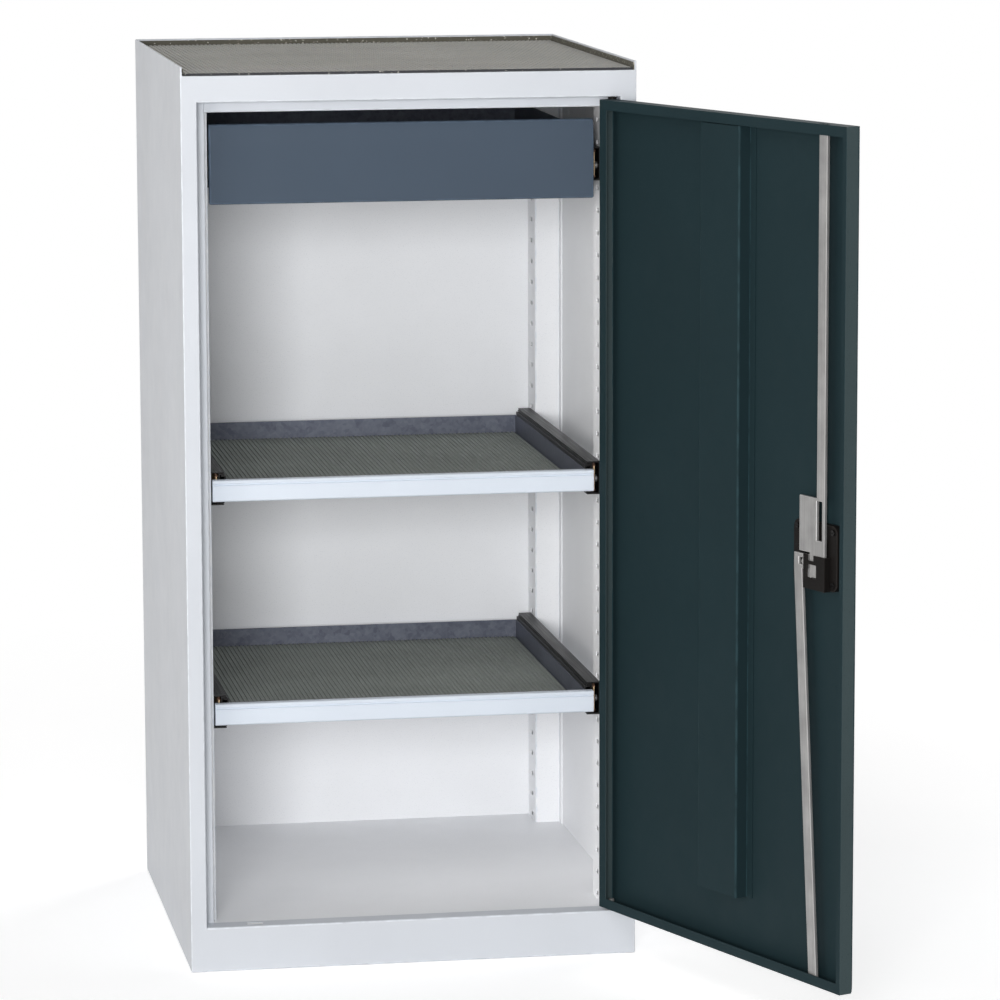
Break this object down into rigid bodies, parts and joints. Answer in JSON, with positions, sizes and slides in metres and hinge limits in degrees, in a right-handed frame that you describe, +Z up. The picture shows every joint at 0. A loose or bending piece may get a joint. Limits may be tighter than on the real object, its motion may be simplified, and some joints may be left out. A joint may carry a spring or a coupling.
{
  "type": "tool cabinet",
  "caption": "Upright steel tool cabinet with a hinged lockable door, a drawer and pull-out trays on telescopic slides.",
  "frame": {"origin": "middle of the carcass's base, on the ground", "axes": "+Z up, -Y out of the front, +X to the right seen from the front; the door is open at rest"},
  "size_m": [0.6485, 0.9203, 1],
  "materials": {
    "carcass_paint": "light grey powder coat, fine texture",
    "door_paint": "dark blue-grey powder coat, fine texture",
    "drawer_paint": "slate blue powder coat, satin",
    "tray_paint": "pale grey powder coat, satin",
    "galvanised": "spangled zinc",
    "mat_rubber": "ribbed, matt",
    "top_rubber": "ribbed, speckled, matt",
    "slide_steel": "black zinc plated",
    "bright_zinc": "zinc plated",
    "black_case": "fine grain",
    "handle_black": "satin",
    "brass": "turned"
  },
  "bodies": {
    "carcass": {"left_side_panel": "carcass_paint", "right_side_panel": "carcass_paint", "back_panel": "carcass_paint", "top_panel": "carcass_paint", "top_mat": "top_rubber", "floor_panel": "carcass_paint", "front_left_post": "carcass_paint", "front_right_post": "carcass_paint", "rear_left_post": "carcass_paint", "rear_right_post": "carcass_paint", "upper_hinge_bush": "black_case", "lower_hinge_bush": "black_case", "slide_screws": "bright_zinc", "slide_nuts": "bright_zinc", "drawer_slide_outer_left": "slide_steel", "drawer_slide_outer_right": "slide_steel", "upper_tray_slide_outer_left": "slide_steel", "upper_tray_slide_outer_right": "slide_steel", "lower_tray_slide_outer_left": "slide_steel", "lower_tray_slide_outer_right": "slide_steel"},
    "door": {"door_panel": "door_paint", "door_stiffener": "door_paint", "upper_hinge_pin": "bright_zinc", "lower_hinge_pin": "bright_zinc", "upper_pin_bracket": "bright_zinc", "lower_pin_bracket": "bright_zinc", "lock_case": "black_case", "lock_case_screws": "slide_steel", "lock_cover": "black_case", "handle_rosette": "handle_black"},
    "handle": {"lever_handle": "handle_black", "lock_spindle": "bright_zinc", "lock_cam": "bright_zinc"},
    "key_cylinder": {"lock_cylinder": "brass"},
    "upper_rod": {"upper_lock_rod": "bright_zinc"},
    "lower_rod": {"lower_lock_rod": "bright_zinc"},
    "drawer": {"drawer_box": "galvanised", "drawer_front": "drawer_paint", "drawer_slide_inner_left": "slide_steel", "drawer_slide_inner_right": "slide_steel"},
    "drawer_middle_slides": {"drawer_slide_middle_left": "slide_steel", "drawer_slide_middle_right": "slide_steel"},
    "upper_tray": {"upper_tray_pan": "galvanised", "upper_tray_front": "tray_paint", "upper_tray_mat": "mat_rubber", "upper_tray_slide_inner_left": "slide_steel", "upper_tray_slide_inner_right": "slide_steel"},
    "upper_tray_middle_slides": {"upper_tray_slide_middle_left": "slide_steel", "upper_tray_slide_middle_right": "slide_steel"},
    "lower_tray": {"lower_tray_pan": "galvanised", "lower_tray_front": "tray_paint", "lower_tray_mat": "mat_rubber", "lower_tray_slide_inner_left": "slide_steel", "lower_tray_slide_inner_right": "slide_steel"},
    "lower_tray_middle_slides": {"lower_tray_slide_middle_left": "slide_steel", "lower_tray_slide_middle_right": "slide_steel"}
  },
  "joints": [
    {"name": "door_hinge", "type": "hinge", "parent": "carcass", "child": "door", "pos_m": [0.224, -0.245, 0.5], "axis": [0, 0, 1], "range_deg": [-112, 0]},
    {"name": "handle_turn", "type": "hinge", "parent": "door", "child": "handle", "pos_m": [0.37398, -0.60287, 0.4925], "axis": [0.9272, 0.3746, 0], "range_deg": [-90, 0]},
    {"name": "key_turn", "type": "hinge", "parent": "handle", "child": "key_cylinder", "pos_m": [0.37398, -0.60287, 0.4925], "axis": [0.9272, 0.3746, 0], "range_deg": [0, 90]},
    {"name": "upper_rod_slide", "type": "slide", "parent": "door", "child": "upper_rod", "axis": [0, 0, 1], "range_m": [0, 0.0184]},
    {"name": "lower_rod_slide", "type": "slide", "parent": "door", "child": "lower_rod", "axis": [0.0268, -0.0664, -0.9974], "range_m": [0, 0.0184]},
    {"name": "drawer_pull", "type": "slide", "parent": "carcass", "child": "drawer", "axis": [0, -1, 0], "range_m": [0, 0.42]},
    {"name": "drawer_middle_pull", "type": "slide", "parent": "carcass", "child": "drawer_middle_slides", "axis": [0, -1, 0], "range_m": [0, 0.21]},
    {"name": "upper_tray_pull", "type": "slide", "parent": "carcass", "child": "upper_tray", "axis": [0, -1, 0], "range_m": [0, 0.42]},
    {"name": "upper_tray_middle_pull", "type": "slide", "parent": "carcass", "child": "upper_tray_middle_slides", "axis": [0, -1, 0], "range_m": [0, 0.21]},
    {"name": "lower_tray_pull", "type": "slide", "parent": "carcass", "child": "lower_tray", "axis": [0, -1, 0], "range_m": [0, 0.42]},
    {"name": "lower_tray_middle_pull", "type": "slide", "parent": "carcass", "child": "lower_tray_middle_slides", "axis": [0, -1, 0], "range_m": [0, 0.21]}
  ],
  "couplings": [
    {"joint": "upper_rod_slide", "follows": "handle_turn", "m_per_rad": -0.011704},
    {"joint": "lower_rod_slide", "follows": "handle_turn", "m_per_rad": -0.011704},
    {"joint": "drawer_middle_pull", "follows": "drawer_pull", "ratio": 0.5},
    {"joint": "upper_tray_middle_pull", "follows": "upper_tray_pull", "ratio": 0.5},
    {"joint": "lower_tray_middle_pull", "follows": "lower_tray_pull", "ratio": 0.5}
  ]
}
